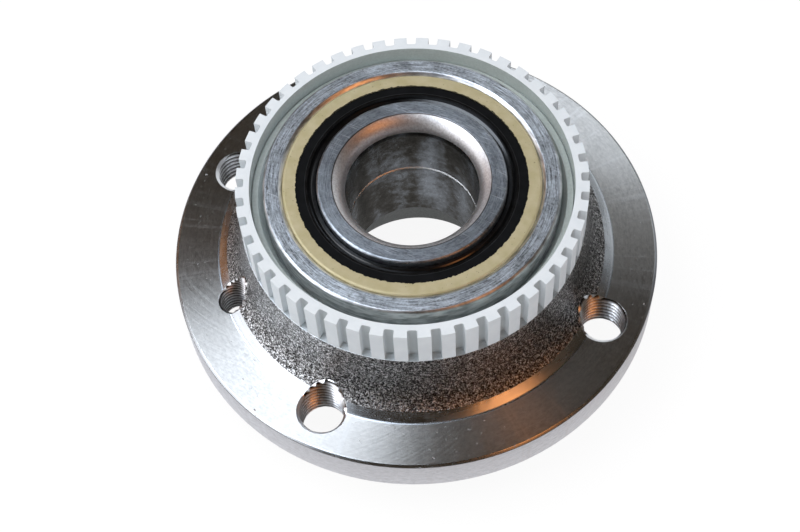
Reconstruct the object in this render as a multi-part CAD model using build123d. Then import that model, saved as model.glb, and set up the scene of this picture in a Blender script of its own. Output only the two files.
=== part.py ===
from build123d import *
import os
from math import cos, radians, sin, sqrt

# A wheel hub with its double-row ball bearing and its toothed sensor ring.
# Millimetres and degrees. Z is the spin axis, and +Z points inboard, towards the toothed ring.
# The origin is the centre of the wheel bolt circle, on the outboard face of the flange.

# Bearing, from the axle bore outwards
axle_bore = 31.0
inner_ring_wall = 5.5
low_shoulder_diameter = axle_bore + 2 * inner_ring_wall
land_rise = 1.25
land_diameter = low_shoulder_diameter + 2 * land_rise
ball_count = 13
ball_diameter = 9.525
ball_radius = ball_diameter / 2
inner_groove_depth = 0.5125
ball_pitch_diameter = low_shoulder_diameter + ball_diameter - 2 * inner_groove_depth
ball_pitch_radius = ball_pitch_diameter / 2
outer_groove_depth = 1.6125
outer_shoulder_diameter = ball_pitch_diameter + ball_diameter - 2 * outer_groove_depth
seal_seat_step = 0.2875
seal_seat_diameter = ball_pitch_diameter + ball_diameter + 2 * seal_seat_step
outer_ring_wall = 4.5
bearing_diameter = seal_seat_diameter + 2 * outer_ring_wall

# Ball grooves, a little wider than the balls and touched by them at the contact angle
contact_angle = 38.0
race_share = 0.52
ball_clearance = 0.05
groove_radius = ball_diameter * race_share
groove_shift = groove_radius - ball_radius - ball_clearance
groove_shift_out = groove_shift * cos(radians(contact_angle))
groove_shift_along = groove_shift * sin(radians(contact_angle))

# Ball cages
cage_inner_gap = 0.95
cage_outer_gap = 1.0
cage_inner_diameter = land_diameter + 2 * cage_inner_gap
cage_outer_diameter = outer_shoulder_diameter - 2 * cage_outer_gap
cage_back_gap = 1.4
cage_reach = 2.6
pocket_clearance = 0.15

# Seals, each a pressed steel case with a rubber lip moulded to it
seal_recess = 0.3
case_height = 3.8
case_wall = 0.8
case_corner = 0.7
case_flange_width = 3.3
case_bore = seal_seat_diameter - 2 * case_flange_width
rubber_drop = 0.15
rubber_bond_width = 1.8
rubber_bond_depth = 0.8
rubber_bond_diameter = case_bore + 2 * rubber_bond_width
ridge_stand_off = 2.15
ridge_diameter = land_diameter + 2 * ridge_stand_off
ridge_flank = 0.4
ridge_groove_depth = 0.7
dust_lip_stand_off = 1.25
dust_lip_diameter = land_diameter + 2 * dust_lip_stand_off
dust_lip_drop = 0.25
dust_lip_reach = 0.8
lip_edge = 0.4
lip_root_drop = 0.6
main_lip_drop = 1.6
main_lip_back = 1.9
lip_clearance = 0.05

# Bearing, from its middle plane to its ends
row_spacing = 17.2
row_place = row_spacing / 2
seal_gap = 1.3375
seal_depth = case_wall + rubber_bond_depth + main_lip_back
ring_end_step = 0.5
inner_ring_width = row_place + ball_radius + seal_gap + seal_depth + seal_recess + ring_end_step
outer_ring_width = 2 * (inner_ring_width - ring_end_step)
seal_seat_spare = 0.3
seal_seat_depth = case_height + seal_recess + seal_seat_spare

# Edges of the bearing rings
inner_ring_chamfer = 0.4
axle_fillet_length = 5.6
axle_fillet_width = 3.2
axle_fillet_diameter = axle_bore + 2 * axle_fillet_width
seal_mouth_chamfer = 0.8
outer_ring_chamfer = 0.5

# Place of the bearing in the hub, above the outboard face of the flange
seat_floor = 3.0
bearing_middle = seat_floor + outer_ring_width / 2

# Nose of the hub, which carries the toothed ring and holds the mouth of the bearing seat
nose_wall = 3.05
nose_diameter = bearing_diameter + 2 * nose_wall
nose_height = 7.3
nose_chamfer = 0.3
lead_in_width = 1.4
lead_in_depth = 3.0
nose_face_diameter = bearing_diameter + 2 * lead_in_width

# Toothed ring
tooth_count = 48
ring_web = 1.35
tooth_depth = 1.9
tooth_root_diameter = nose_diameter + 2 * ring_web
tooth_tip_diameter = tooth_root_diameter + 2 * tooth_depth
tooth_gap_width = 2.3
tooth_root_fillet = 0.5
toothed_ring_height = 11.6

# Cast barrel of the hub, from the shoulder under the toothed ring down to the step
barrel_ledge = 0.1
barrel_draft = 1.0
barrel_top_diameter = tooth_tip_diameter + 2 * barrel_ledge
barrel_foot_diameter = barrel_top_diameter + 2 * barrel_draft
barrel_wall_height = 7.6
shoulder_height = 17.6
cast_fillet_width = 4.3

# Turned step at the foot of the barrel
step_top_diameter = barrel_foot_diameter + 2 * cast_fillet_width
step_width = 2.1
step_foot_diameter = step_top_diameter + 2 * step_width
step_height = 1.8
step_foot_fillet = 1.0

# Wheel bolt holes, with their walls at the outer diameter of the thread
bolt_circle = 100.0
bolt_count = 4
bolt_hole_diameter = 12.0
bolt_lead_chamfer = 0.8

# Hole for the screw that holds the brake disc, midway between two wheel bolt holes
screw_inset = 3.4
screw_circle = bolt_circle - 2 * screw_inset
screw_hole_diameter = 8.0
screw_lead_chamfer = 0.6
screw_place_share = 2.5

# Flange
flange_rim = 9.5
flange_diameter = bolt_circle + 2 * flange_rim
flange_thickness = 11.0
flange_edge_chamfer = 0.6

# Cap bore and registers on the outboard side
cap_bore_lip = 0.25
cap_bore_diameter = land_diameter - 2 * cap_bore_lip
cap_bore_chamfer = 0.8
well_margin = 0.3
well_diameter = seal_seat_diameter + 2 * well_margin
well_depth = 1.2
spigot_wall = 6.5
wheel_register_diameter = cap_bore_diameter + 2 * spigot_wall
disc_register_step = 3.5
disc_register_diameter = wheel_register_diameter + 2 * disc_register_step
disc_register_length = 5.0
outboard_depth = 13.8
register_chamfer = 1.0

# What a cut runs past the face that it goes through
overrun = 1.0

# Heights on the hub, which follow from the sizes above
flange_top = flange_thickness
step_top = flange_top + step_height
shoulder_top = flange_top + shoulder_height
barrel_foot = shoulder_top - barrel_wall_height
nose_top = shoulder_top + nose_height
well_floor = seat_floor - well_depth

# The two ends of the bearing, and the way each one faces along Z
ends = {"inboard": 1, "outboard": -1}


def at(radius, height):
    """A point of a turned section, which lies in the XZ plane."""
    return (radius, 0, height)


def run(*points):
    """Straight edges through points given as radius and height."""
    return Polyline(*[at(radius, height) for radius, height in points])


def bend(start, end, direction):
    """An arc from one point of a section to another, which leaves the first along direction."""
    return TangentArc(at(*start), at(*end), tangent=at(*direction))


def turned(edges):
    """The solid that a closed outline sweeps round the spin axis."""
    return revolve(make_face(edges), axis=Axis.Z)


def along(facing, distance):
    """The height of a point that lies this far from the bearing's middle plane."""
    return bearing_middle + facing * distance


def hole(circle, angle, diameter, lead):
    """A round cutter along Z through the flange and barrel, with a lead-in cone outboard."""
    to_hole = Rot(Z=angle) * Pos(X=circle / 2)
    upright = (Align.CENTER, Align.CENTER, Align.MIN)
    shaft = Cylinder(diameter / 2, barrel_foot + overrun, align=upright)
    mouth = Cone(diameter / 2 + lead + overrun, diameter / 2, lead + overrun, align=upright)
    return to_hole * (Pos(Z=-overrun) * (shaft + mouth))


def hub_section():
    """The closed outline of the hub, from the cap bore round the outside to the bearing seat."""
    barrel_slope = ((barrel_foot_diameter - barrel_top_diameter) / 2, barrel_foot - shoulder_top)
    outboard_side = run(
        (cap_bore_diameter / 2 + cap_bore_chamfer, -outboard_depth),
        (wheel_register_diameter / 2 - register_chamfer, -outboard_depth),
        (wheel_register_diameter / 2, register_chamfer - outboard_depth),
        (wheel_register_diameter / 2, -disc_register_length),
        (disc_register_diameter / 2 - register_chamfer, -disc_register_length),
        (disc_register_diameter / 2, register_chamfer - disc_register_length),
        (disc_register_diameter / 2, 0),
        (flange_diameter / 2 - flange_edge_chamfer, 0),
        (flange_diameter / 2, flange_edge_chamfer),
        (flange_diameter / 2, flange_top - flange_edge_chamfer),
        (flange_diameter / 2 - flange_edge_chamfer, flange_top),
    )
    step = FilletPolyline(
        at(flange_diameter / 2 - flange_edge_chamfer, flange_top),
        at(step_foot_diameter / 2, flange_top),
        at(step_top_diameter / 2, step_top),
        radius=step_foot_fillet,
    )
    cast_fillet = bend(
        (barrel_foot_diameter / 2, barrel_foot),
        (step_top_diameter / 2, step_top),
        barrel_slope,
    )
    inboard_side = run(
        (barrel_foot_diameter / 2, barrel_foot),
        (barrel_top_diameter / 2, shoulder_top),
        (nose_diameter / 2, shoulder_top),
        (nose_diameter / 2, nose_top - nose_chamfer),
        (nose_diameter / 2 - nose_chamfer, nose_top),
        (nose_face_diameter / 2, nose_top),
        (bearing_diameter / 2, nose_top - lead_in_depth),
        (bearing_diameter / 2, seat_floor),
        (well_diameter / 2, seat_floor),
        (well_diameter / 2, well_floor),
        (cap_bore_diameter / 2, well_floor),
        (cap_bore_diameter / 2, cap_bore_chamfer - outboard_depth),
        (cap_bore_diameter / 2 + cap_bore_chamfer, -outboard_depth),
    )
    return [outboard_side, step, cast_fillet, inboard_side]


def hub_flange():
    """The cast and turned hub: flange, barrel, nose, bearing seat and registers."""
    hub = turned(hub_section())
    bolt_pitch = 360 / bolt_count
    for place in range(bolt_count):
        hub -= hole(bolt_circle, place * bolt_pitch, bolt_hole_diameter, bolt_lead_chamfer)
    hub -= hole(screw_circle, screw_place_share * bolt_pitch, screw_hole_diameter, screw_lead_chamfer)
    return hub


def toothed_ring():
    """The sensor ring, with square teeth cut right through its height."""
    tooth_pitch = 360 / tooth_count
    gap_length = tooth_tip_diameter - tooth_root_diameter
    gap_middle = tooth_root_diameter / 2 + gap_length / 2
    profile = Circle(tooth_tip_diameter / 2) - Circle(nose_diameter / 2)
    gap = RectangleRounded(gap_length, tooth_gap_width, tooth_root_fillet)
    profile -= PolarLocations(gap_middle, tooth_count, start_angle=tooth_pitch / 2) * gap
    return Pos(Z=shoulder_top) * extrude(profile, toothed_ring_height)


def outer_race_half(facing):
    """One end of the outer ring's section, from its middle plane inside round to the outside."""
    groove_out = ball_pitch_radius - groove_shift_out
    groove_place = row_place + groove_shift_along
    groove_floor = groove_out + groove_radius
    shoulder = outer_shoulder_diameter / 2
    shoulder_end = groove_place - sqrt(groove_radius**2 - (shoulder - groove_out) ** 2)
    end = outer_ring_width / 2
    seat = seal_seat_diameter / 2
    inside = run((shoulder, bearing_middle), (shoulder, along(facing, shoulder_end)))
    groove = bend(
        (groove_floor, along(facing, groove_place)),
        (shoulder, along(facing, shoulder_end)),
        (0, -facing),
    )
    rest = run(
        (groove_floor, along(facing, groove_place)),
        (groove_floor, along(facing, end - seal_seat_depth)),
        (seat, along(facing, end - seal_seat_depth)),
        (seat, along(facing, end - seal_mouth_chamfer)),
        (seat + seal_mouth_chamfer, along(facing, end)),
        (bearing_diameter / 2 - outer_ring_chamfer, along(facing, end)),
        (bearing_diameter / 2, along(facing, end - outer_ring_chamfer)),
        (bearing_diameter / 2, bearing_middle),
    )
    return [inside, groove, rest]


def outer_ring():
    """The bearing's outer ring, with both ball grooves and the two seal seats."""
    halves = [edge for facing in ends.values() for edge in outer_race_half(facing)]
    return turned(halves)


def inner_ring(facing, has_axle_fillet):
    """One inner ring, with its groove, its seal land and its bore."""
    groove_out = ball_pitch_radius + groove_shift_out
    groove_place = row_place - groove_shift_along
    groove_floor = groove_out - groove_radius
    low = low_shoulder_diameter / 2
    land = land_diameter / 2
    bore = axle_bore / 2
    low_end = groove_place - sqrt(groove_radius**2 - (groove_out - low) ** 2)
    land_start = groove_place + sqrt(groove_radius**2 - (groove_out - land) ** 2)
    joint_side = run(
        (bore, along(facing, inner_ring_chamfer)),
        (bore + inner_ring_chamfer, bearing_middle),
        (low - inner_ring_chamfer, bearing_middle),
        (low, along(facing, inner_ring_chamfer)),
        (low, along(facing, low_end)),
    )
    groove_bottom = (groove_floor, along(facing, groove_place))
    groove_low = bend(groove_bottom, (low, along(facing, low_end)), (0, -facing))
    groove_high = bend(groove_bottom, (land, along(facing, land_start)), (0, facing))
    face_start = axle_fillet_diameter / 2 if has_axle_fillet else bore + inner_ring_chamfer
    face_edge = (face_start, along(facing, inner_ring_width))
    end_side = run(
        (land, along(facing, land_start)),
        (land, along(facing, inner_ring_width - inner_ring_chamfer)),
        (land - inner_ring_chamfer, along(facing, inner_ring_width)),
        face_edge,
    )
    mouth_length = axle_fillet_length if has_axle_fillet else inner_ring_chamfer
    bore_edge = (bore, along(facing, inner_ring_width - mouth_length))
    mouth = bend(bore_edge, face_edge, (0, facing)) if has_axle_fillet else run(bore_edge, face_edge)
    bore_wall = run(bore_edge, (bore, along(facing, inner_ring_chamfer)))
    return turned([joint_side, groove_low, groove_high, end_side, mouth, bore_wall])


def ball_places(facing):
    """Where the balls of one row sit, the outboard row turned by half a pitch."""
    phase_share = 0 if facing > 0 else 0.5
    to_ball = Pos(ball_pitch_radius, 0, along(facing, row_place))
    return [Rot(Z=(number + phase_share) * 360 / ball_count) * to_ball for number in range(ball_count)]


def cage(facing):
    """A crown cage: a ring with open ball pockets that face the end of the bearing."""
    inner = cage_inner_diameter / 2
    outer = cage_outer_diameter / 2
    back = along(facing, cage_back_gap)
    front = along(facing, row_place + cage_reach)
    body = turned(run((inner, back), (outer, back), (outer, front), (inner, front), (inner, back)))
    for place in ball_places(facing):
        body -= place * Sphere(ball_radius + pocket_clearance)
    return body


def seal_case(facing):
    """The pressed steel case of a seal, an angle section with a rounded corner."""
    seat = seal_seat_diameter / 2
    face = outer_ring_width / 2 - seal_recess
    wall_side = run(
        (seat, along(facing, face - case_corner)),
        (seat, along(facing, face - case_height)),
        (seat - case_wall, along(facing, face - case_height)),
        (seat - case_wall, along(facing, face - case_wall)),
        (case_bore / 2, along(facing, face - case_wall)),
        (case_bore / 2, along(facing, face)),
        (seat - case_corner, along(facing, face)),
    )
    corner = bend(
        (seat, along(facing, face - case_corner)),
        (seat - case_corner, along(facing, face)),
        (0, facing),
    )
    return turned([wall_side, corner])


def seal_lip(facing):
    """The rubber of a seal: a flat face, a ridge and groove, and two lips on the inner ring's land."""
    case_face = outer_ring_width / 2 - seal_recess
    case_back = case_face - case_wall
    top = case_face - rubber_drop
    lip = land_diameter / 2 + lip_clearance
    ridge = ridge_diameter / 2
    dust_top = top - dust_lip_drop
    dust_tip = dust_top - dust_lip_reach
    root = dust_tip - lip_root_drop
    main_tip = dust_tip - main_lip_drop
    outline = (
        (case_bore / 2, top),
        (ridge, top),
        (ridge - ridge_flank, top - ridge_groove_depth),
        (dust_lip_diameter / 2, dust_top),
        (lip + lip_edge, dust_tip + lip_edge),
        (lip, dust_tip),
        (lip + lip_edge, root),
        (dust_lip_diameter / 2, root),
        (lip, main_tip),
        (ridge, case_back - main_lip_back - rubber_bond_depth),
        (rubber_bond_diameter / 2, case_back - rubber_bond_depth),
        (rubber_bond_diameter / 2, case_back),
        (case_bore / 2, case_back),
        (case_bore / 2, top),
    )
    return turned(run(*[(radius, along(facing, distance)) for radius, distance in outline]))


def all_parts():
    """Every separate piece of the bearing by name."""
    pieces = {
        "hub_flange": hub_flange(),
        "toothed_ring": toothed_ring(),
        "outer_ring": outer_ring(),
    }
    for end, facing in ends.items():
        pieces[f"inner_ring_{end}"] = inner_ring(facing, has_axle_fillet=end == "inboard")
        pieces[f"cage_{end}"] = cage(facing)
        pieces[f"seal_case_{end}"] = seal_case(facing)
        pieces[f"seal_lip_{end}"] = seal_lip(facing)
        for number, place in enumerate(ball_places(facing), start=1):
            pieces[f"ball_{end}_{number:02d}"] = place * Sphere(ball_radius)
    return pieces


os.makedirs("parts", exist_ok=True)
for node, solid in all_parts().items():
    export_step(solid, f"parts/{node}.step")
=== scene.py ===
import math

import bmesh
import bpy
import numpy as np
from mathutils import Matrix, Vector, noise


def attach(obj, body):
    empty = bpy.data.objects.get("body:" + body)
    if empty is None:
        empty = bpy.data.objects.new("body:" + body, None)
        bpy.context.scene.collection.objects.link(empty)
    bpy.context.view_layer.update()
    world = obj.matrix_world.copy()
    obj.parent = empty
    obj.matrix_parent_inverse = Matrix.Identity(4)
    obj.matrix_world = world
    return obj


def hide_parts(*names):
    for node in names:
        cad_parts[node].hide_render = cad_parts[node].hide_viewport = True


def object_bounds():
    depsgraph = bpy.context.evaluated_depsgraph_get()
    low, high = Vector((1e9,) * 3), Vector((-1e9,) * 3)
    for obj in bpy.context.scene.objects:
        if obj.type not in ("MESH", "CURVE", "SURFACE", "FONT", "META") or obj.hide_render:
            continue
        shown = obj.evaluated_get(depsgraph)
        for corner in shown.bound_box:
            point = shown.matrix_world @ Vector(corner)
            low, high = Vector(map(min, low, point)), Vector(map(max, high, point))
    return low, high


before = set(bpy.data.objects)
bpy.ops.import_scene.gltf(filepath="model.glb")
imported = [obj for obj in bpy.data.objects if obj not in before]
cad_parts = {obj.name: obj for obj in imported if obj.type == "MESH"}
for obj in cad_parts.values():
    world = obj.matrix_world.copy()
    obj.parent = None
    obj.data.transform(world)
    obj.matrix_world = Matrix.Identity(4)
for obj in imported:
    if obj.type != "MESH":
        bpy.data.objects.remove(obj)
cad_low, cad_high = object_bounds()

# Lengths are in millimetres, and are turned into metres where a mesh, lamp or texture is made.
MM = 0.001

# Camera, as the photograph was taken
CAMERA_PLACE = Vector((97.282, -176.848, 355.226))
CAMERA_AZIMUTH = 30.0
CAMERA_ELEVATION = 60.379
CAMERA_ROLL = 4.247
SENSOR_WIDTH = 36.0
LENS = 72.56

# Hub, from the spin axis outwards
CAP_BORE = 22.0
CAP_BORE_CHAMFER = 0.8
SPIGOT_RADIUS = 28.5
DISC_REGISTER_RADIUS = 32.0
REGISTER_CHAMFER = 1.0
SPIGOT_END = -13.8
DISC_REGISTER_END = -5.0
FLANGE_RADIUS = 59.5
FLANGE_EDGE = 0.6
FLANGE_TOP = 11.0
STEP_FOOT_RADIUS = 48.6
STEP_TOP_RADIUS = 46.5
STEP_TOP = 12.8
STEP_FILLET = 1.0
BARREL_FOOT_RADIUS = 42.2
BARREL_FOOT = 21.0
BARREL_TOP_RADIUS = 41.2
SHOULDER = 28.6
NOSE_RADIUS = 37.85
NOSE_TOP = 35.9
NOSE_CHAMFER = 0.3
NOSE_FACE_RADIUS = 36.2
SEAT_MOUTH = 32.9
BEARING_RADIUS = 34.8
SEAT_FLOOR = 3.0
WELL_RADIUS = 30.6
WELL_FLOOR = 1.8
CAST_RELIEF = 0.065
CAST_LUMP = 0.75

# Holes in the flange: radius, radius of the thread's crests, thread pitch and lead-in
BOLT_CIRCLE_RADIUS = 50.0
BOLT_COUNT = 4
BOLT_HOLE = {"radius": 6.0, "crest": 5.19, "pitch": 1.5, "lead": 0.8}
SCREW_CIRCLE_RADIUS = 46.6
SCREW_ANGLE = 225.0
SCREW_HOLE = {"radius": 4.0, "crest": 3.32, "pitch": 1.25, "lead": 0.6}
CUT_OVERRUN = 1.0

# Thread: the flat of a crest and the slope after it as shares of half a pitch, and the groove's depth
# as a share of the room between crest and hole
THREAD_DEPTH = "thread_depth"
CREST_SHARE = 0.12
FLANK_SHARE = 0.76
GROOVE_SHARE = 0.96

# Toothed ring
TOOTH_COUNT = 48
TOOTH_TIP_RADIUS = 41.1
TOOTH_ROOT_RADIUS = 39.2
GAP_WIDTH = 2.3
GAP_CORNER = 0.5
RING_TOP = 40.2
RING_EDGE_BEVEL = 0.14
BEVEL_ANGLE = math.radians(40)

# Bearing, measured from its middle plane
BEARING_MIDDLE = 21.5
AXLE_BORE_RADIUS = 15.5
LOW_SHOULDER_RADIUS = 21.0
LAND_RADIUS = 22.25
INNER_RING_WIDTH = 19.0
INNER_RING_CHAMFER = 0.4
AXLE_FILLET_LENGTH = 5.6
AXLE_FILLET_RADIUS = 18.7
# Width and fade of the painted shade line along the lead-in's outer edge
EDGE_SHADE_WIDTH = 0.18
EDGE_SHADE_FADE = 0.12
OUTER_RING_HALF_WIDTH = 18.5
OUTER_RING_CHAMFER = 0.5
SEAL_SEAT_RADIUS = 30.3
SEAL_SEAT_DEPTH = 4.4
SEAL_MOUTH = 0.8
OUTER_SHOULDER_RADIUS = 28.4
ROW_PLACE = 8.6
BALL_PITCH_RADIUS = 25.25
GROOVE_RADIUS = 4.953
GROOVE_SHIFT_OUT = 0.1105
GROOVE_SHIFT_ALONG = 0.0864

# Seals. The flash is its width times a share wide, which wavers round the middle one of three shares
# and stays between the others.
CASE_FACE = 18.2
CASE_BORE_RADIUS = 27.0
GREASE_RADIUS = 24.8
GREASE_FADE = 0.3
FLASH_WIDTH = 0.22
FLASH_HEIGHT = 0.04
FLASH_SLOPE = 0.05
FLASH_ROOT = 0.05
FLASH_TOE = 0.01
FLASH_OVERHANG = 0.02
FLASH_SHARES = (0.15, 0.6, 1.5)
FLASH_WAVES = (22, 70)

# Room that the metal reflects. Its lights are azimuth, elevation, width to half strength, softness
# and colour.
ROOM_LEVELS = (
    (0.0, (0.10, 0.075, 0.05)),
    (0.25, (0.045, 0.029, 0.013)),
    (0.80, (0.022, 0.013, 0.004)),
)
ROOM_LIGHTS = (
    (207.5, 62.9, 23.0, 5.0, (3.65, 4.05, 4.6)),
    (228.0, 48.0, 21.0, 5.0, (3.65, 4.05, 4.6)),
    (234.0, 26.0, 17.0, 6.0, (3.0, 3.05, 3.15)),
    (207.0, 10.0, 14.0, 6.0, (2.0, 2.0, 2.05)),
    (88.0, 12.0, 36.0, 14.0, (0.72, 0.76, 0.80)),
    (338.5, 37.0, 10.0, 4.5, (3.0, 1.15, 0.38)),
    (180.0, 9.0, 12.0, 6.0, (0.5, 0.2, 0.05)),
)

# Light that falls on the object: sky by the height of its direction, and lamps as name, azimuth,
# elevation, size, power and colour
SKY_LEVELS = ((0.0, (0.36, 0.38, 0.38)), (1.0, (0.84, 0.84, 0.88)))
LAMP_DISTANCE = 700.0
LAMPS = (
    ("window", 215, 58, 500, 2.2, (1.0, 1.0, 1.0)),
    ("warm_lamp", 340, 33, 150, 0.15, (1.0, 0.45, 0.2)),
)

# Floor: in reflections, painted shadow under the object and a painted pool of light round it, as its
# brightness by distance from the spin axis as a share of its reach; and how much of what the camera sees
# of it is plain white
FLOOR_LEVELS = (
    (0.0, 0.25), (0.05, 0.16), (0.13, 0.08), (0.16, 0.95), (0.21, 0.70), (0.27, 0.22), (0.45, 0.07),
)
FLOOR_REACH = 400.0
FLOOR_HALF_WIDTH = 3000.0
FLOOR_COLOUR = (0.9, 0.9, 0.9, 1)
FLOOR_WHITE = (1.04, 1.04, 1.04)
FLOOR_WHITE_SHARE = 0.88

# Mesh fineness
ROUND_STEPS = 360
HUB_STEPS = 540
HOLE_STEPS = 96
THREAD_ROWS_PER_TURN = 14
FLASH_STEPS = 960
CAST_FILLET_STEPS = 12
STEP_FOOT_STEPS = 5
GAP_CORNER_STEPS = 3
TOOTH_TIP_STEPS = 5
OUTER_GROOVE_STEPS = 8
INNER_GROOVE_STEPS = (5, 6)
LEAD_IN_STEPS = 16
LEAD_IN_HONED_STEPS = 4
EDGE_STEPS = 2
CAST_GRID = 0.36
FLANGE_GRID = 4.0

# Broken edges: their reach, the most of a side that they take, and how far out their support points
# lie as a share of the reach; then the angles that shading and rounding go by
EDGE_ROUNDING = 0.16
SIDE_SHARE = 0.3
SUPPORT = 1.3
SHARP_ANGLE = math.radians(32)
STRAIGHT_ANGLE = math.radians(160)

# Points of an outline or mesh that are closer than this are one, and shorter edges are taken out.
TOUCHING = 1e-6
MERGE_DISTANCE = 0.002
SHORTEST_EDGE = 0.001

# How much of a normal lies along the axis, at least, on an end face of the outer ring
END_FACE_SHARE = 0.95


def polar(radius, degrees):
    """A point in the XY plane."""
    angle = math.radians(degrees)
    return radius * math.cos(angle), radius * math.sin(angle)


def bend(start, end, direction, steps):
    """Points of the arc from start to end that leaves start along direction, both ends included."""
    start, end, direction = Vector(start), Vector(end), Vector(direction).normalized()
    chord = end - start
    side = Vector((-direction.y, direction.x))
    across = chord.dot(side)
    radius = chord.length_squared / (2 * across)
    centre = start + side * radius
    sweep = 2 * math.atan2(across, chord.dot(direction))
    spoke = start - centre
    return [
        tuple(centre + Matrix.Rotation(sweep * i / steps, 2) @ spoke) for i in range(steps + 1)
    ]


def dense(points, spacing):
    """The same open run of points with none further apart than spacing."""
    result = [points[0]]
    for before, after in zip(points, points[1:]):
        pieces = max(1, math.ceil((Vector(after) - Vector(before)).length / spacing))
        result += [tuple(Vector(before).lerp(Vector(after), i / pieces)) for i in range(1, pieces + 1)]
    return result


def outline_of(*stretches):
    """A closed outline of (radius, height, zone) from open runs of points, each with its zone."""
    outline = []
    for zone, points in stretches:
        for radius, height in points:
            if outline and (Vector(outline[-1][:2]) - Vector((radius, height))).length < TOUCHING:
                outline.pop()
            outline.append((radius, height, zone))
    if (Vector(outline[0][:2]) - Vector(outline[-1][:2])).length < TOUCHING:
        outline.pop()
    return outline


def rounded(outline):
    """The same closed outline with its sharp corners rounded over.

    A point just outside each rounding keeps the flat that follows it flat in the shading.
    """
    result = []
    for i, (radius, height, zone) in enumerate(outline):
        before, after = outline[i - 1], outline[(i + 1) % len(outline)]
        here = Vector((radius, height))
        back = Vector(before[:2]) - here
        ahead = Vector(after[:2]) - here
        if back.angle(ahead) > STRAIGHT_ANGLE:
            result.append((radius, height, zone))
            continue
        start = here + back.normalized() * min(EDGE_ROUNDING, back.length * SIDE_SHARE)
        end = here + ahead.normalized() * min(EDGE_ROUNDING, ahead.length * SIDE_SHARE)
        result.append((*here.lerp(start, SUPPORT), before[2]))
        for k in range(EDGE_STEPS + 1):
            t = k / EDGE_STEPS
            point = start.lerp(here, t).lerp(here.lerp(end, t), t)
            result.append((point.x, point.y, before[2] if t < 0.5 else zone))
        result.append((*here.lerp(end, SUPPORT), zone))
    return result


def piece_from(name, vertices, faces, zones=None):
    """A mesh object in metres from points in millimetres, smooth but for its sharp edges."""
    mesh = bpy.data.meshes.new(name)
    mesh.from_pydata([[c * MM for c in v] for v in vertices], [], faces)
    if zones is not None:
        mesh.polygons.foreach_set("material_index", zones)
    shade(mesh)
    piece = bpy.data.objects.new(name, mesh)
    bpy.context.scene.collection.objects.link(piece)
    return piece


def shade(mesh):
    """Smooth shading with the sharp edges kept."""
    mesh.polygons.foreach_set("use_smooth", [True] * len(mesh.polygons))
    mesh.set_sharp_from_angle(angle=SHARP_ANGLE)
    mesh.update()


def tidy(mesh):
    """Merges doubled points, drops faces without area and turns the normals outwards."""
    cleaner = bmesh.new()
    cleaner.from_mesh(mesh)
    bmesh.ops.remove_doubles(cleaner, verts=cleaner.verts, dist=MERGE_DISTANCE * MM)
    bmesh.ops.dissolve_degenerate(cleaner, edges=cleaner.edges, dist=SHORTEST_EDGE * MM)
    bmesh.ops.recalc_face_normals(cleaner, faces=cleaner.faces)
    cleaner.to_mesh(mesh)
    cleaner.free()
    shade(mesh)


def round_angles(steps):
    """The angles of evenly spaced steps once round, in radians."""
    return np.arange(steps) * 2 * math.pi / steps


def sweep_round(sections):
    """Points and faces of the ring through a closed section of (radius, height) at each step round."""
    steps, rows = len(sections), len(sections[0])
    vertices, faces = [], []
    for j, (angle, section) in enumerate(zip(round_angles(steps), sections)):
        c, s = np.cos(angle), np.sin(angle)
        vertices += [(radius * c, radius * s, height) for radius, height in section]
        here, there = j * rows, (j + 1) % steps * rows
        for i in range(rows):
            k = (i + 1) % rows
            faces.append((here + i, there + i, there + k, here + k))
    return vertices, faces


def bands(count, levels, closed=False):
    """Faces between closed rings of points that follow each other, and back to the first if closed."""
    faces = []
    for level in range(levels if closed else levels - 1):
        low, high = level * count, (level + 1) % levels * count
        for j in range(count):
            k = (j + 1) % count
            faces.append((low + j, low + k, high + k, high + j))
    return faces


def lathe(name, outline, steps=ROUND_STEPS):
    """The ring that a closed outline sweeps round the spin axis."""
    section = [(radius, height) for radius, height, _ in outline]
    zones = [zone for _, _, zone in outline]
    return piece_from(name, *sweep_round([section] * steps), zones * steps)


def finish_piece(piece, body, materials, replaces=None):
    """Puts a piece on its body with its materials, and hides the node it stands for."""
    for material in materials:
        piece.data.materials.append(material)
    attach(piece, body)
    if replaces:
        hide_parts(replaces)


# Material helpers

def shader(name, metallic, roughness, **sockets):
    """A material and its nodes, with numbers set on the shader; a link may vary one of them later."""
    material = bpy.data.materials.new(name)
    material.use_nodes = True
    tree = material.node_tree
    base = tree.nodes["Principled BSDF"]
    base.inputs["Metallic"].default_value = metallic
    base.inputs["Roughness"].default_value = roughness
    for socket, value in sockets.items():
        base.inputs[socket.replace("_", " ")].default_value = value
    return material, tree, base


def node(tree, kind, **settings):
    """A new node with its settings, and its inputs given by their names."""
    made = tree.nodes.new(kind)
    for key, value in settings.items():
        if hasattr(made, key):
            setattr(made, key, value)
        else:
            made.inputs[key].default_value = value
    return made


def give(tree, socket, value):
    """Gives an input socket another socket, a colour or a number."""
    if isinstance(value, bpy.types.NodeSocket):
        tree.links.new(value, socket)
    elif hasattr(value, "__len__") and socket.type == "RGBA":
        socket.default_value = (*value, 1)
    else:
        socket.default_value = value


def math_node(tree, operation, *values):
    """A Math node whose inputs are numbers or sockets; gives its output."""
    made = tree.nodes.new("ShaderNodeMath")
    made.operation = operation
    for socket, value in zip(made.inputs, values):
        give(tree, socket, value)
    return made.outputs[0]


def weighted(tree, *parts):
    """The sum of sockets, each given as (socket, weight)."""
    total = 0.0
    for socket, weight in reversed(parts):
        total = math_node(tree, "MULTIPLY_ADD", socket, weight, total)
    return total


def apart(tree, first, second):
    """How far two numbers or sockets lie apart."""
    return math_node(tree, "ABSOLUTE", math_node(tree, "SUBTRACT", first, second))


def vector_of(tree, x, y, z):
    """A vector socket from three numbers or sockets."""
    made = tree.nodes.new("ShaderNodeCombineXYZ")
    for socket, value in zip(made.inputs, (x, y, z)):
        give(tree, socket, value)
    return made.outputs[0]


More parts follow.
